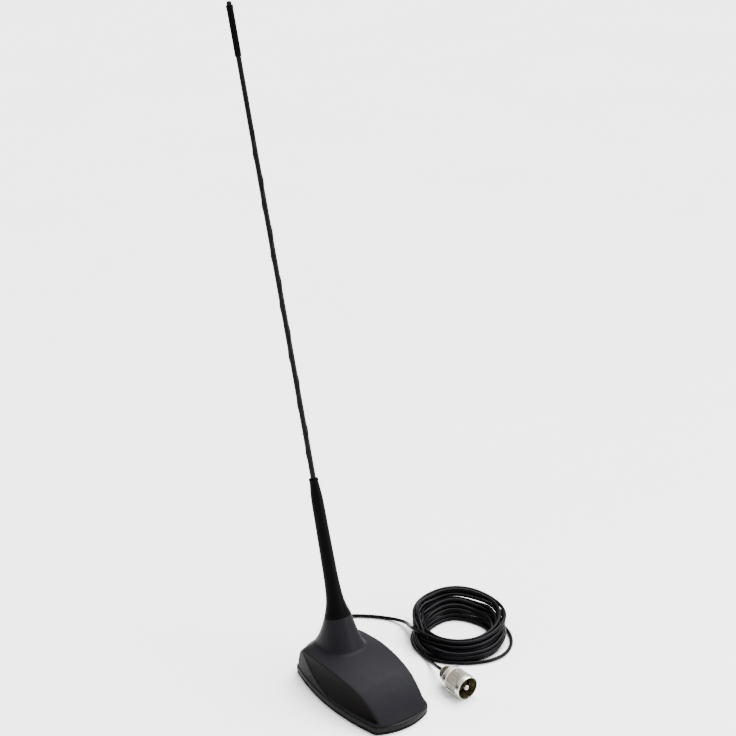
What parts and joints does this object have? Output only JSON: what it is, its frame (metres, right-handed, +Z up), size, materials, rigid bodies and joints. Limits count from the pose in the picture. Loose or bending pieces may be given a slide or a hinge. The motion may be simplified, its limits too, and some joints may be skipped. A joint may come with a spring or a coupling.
{
  "type": "magnetic mount whip antenna",
  "caption": "Vehicle-roof whip antenna: a leaning flexible rod on a teardrop magnetic base, with a thin coaxial lead in a loose coil that ends in a screw-on radio plug.",
  "frame": {"origin": "on the ground, at the middle of the underside of the base's rubber pad", "axes": "+Z up from the mounting surface; -Y towards the nose of the base, so the whip leans back towards +Y; +X across the base, towards the coil and plug"},
  "size_m": [0.1633, 0.194, 0.4528],
  "materials": {
    "cover_plastic": "satin, very fine texture",
    "trim_plastic": "glossy",
    "tray_plastic": "satin",
    "rubber": "matt",
    "boot_rubber": "satin",
    "sleeve_plastic": "semi-gloss heat-shrink",
    "nylon": "matt",
    "glassfibre": "satin",
    "copper_wire": "lacquered",
    "brass": "turned",
    "steel": "zinc plated",
    "magnet": "matt, dark",
    "board": "satin solder mask",
    "cable_jacket": "satin",
    "nickel": "satin nickel plate",
    "phenolic": "matt"
  },
  "bodies": {
    "base": {"antenna_stud": "brass", "stud_nut": "brass", "solder_tag": "brass", "base_cover": "cover_plastic", "side_trim_left": "trim_plastic", "side_trim_right": "trim_plastic", "base_tray": "tray_plastic", "base_pad": "rubber", "cover_screw_1": "steel", "cover_screw_2": "steel", "cover_screw_3": "steel", "cover_screw_4": "steel", "magnet_front": "magnet", "magnet_rear": "magnet", "keeper_plate": "steel", "circuit_board": "board", "board_spacer_1": "nylon", "board_spacer_2": "nylon", "matching_coil": "copper_wire", "feed_wire": "copper_wire", "cable_grommet": "rubber", "clamp_screw_left": "steel", "clamp_screw_right": "steel", "cable_clamp": "steel", "inner_cable": "cable_jacket", "cable_to_coil": "cable_jacket", "cable_coil": "cable_jacket", "cable_to_plug": "cable_jacket", "plug_body": "nickel", "plug_insulator": "phenolic", "plug_pin": "nickel", "cable_reducer": "nickel", "plug_sleeve": "rubber"},
    "seal": {"seal_washer": "rubber"},
    "whip": {"whip_boot": "boot_rubber", "boot_insert": "brass", "loading_former": "nylon", "loading_coil": "copper_wire", "whip_rod": "glassfibre", "whip_winding": "copper_wire", "whip_sleeve": "sleeve_plastic", "tip_sleeve": "boot_rubber", "tip_cap": "rubber"},
    "coupling_ring": {"coupling_ring": "nickel"}
  },
  "joints": [
    {"name": "whip_lift", "type": "slide", "parent": "base", "child": "seal", "axis": [0, 0.2706, 0.9627], "range_m": [0, 0.006]},
    {"name": "whip_turn", "type": "hinge", "parent": "seal", "child": "whip", "pos_m": [0, 0.0281, 0.0488], "axis": [0, 0.2706, 0.9627], "range_deg": [0, 2161]},
    {"name": "ring_spin", "type": "hinge", "parent": "base", "child": "coupling_ring", "pos_m": [0.0531, -0.0402, 0.00875], "axis": [0, 1, 0], "continuous": true}
  ],
  "couplings": [
    {"joint": "whip_turn", "follows": "whip_lift", "rad_per_m": 6283.2}
  ]
}
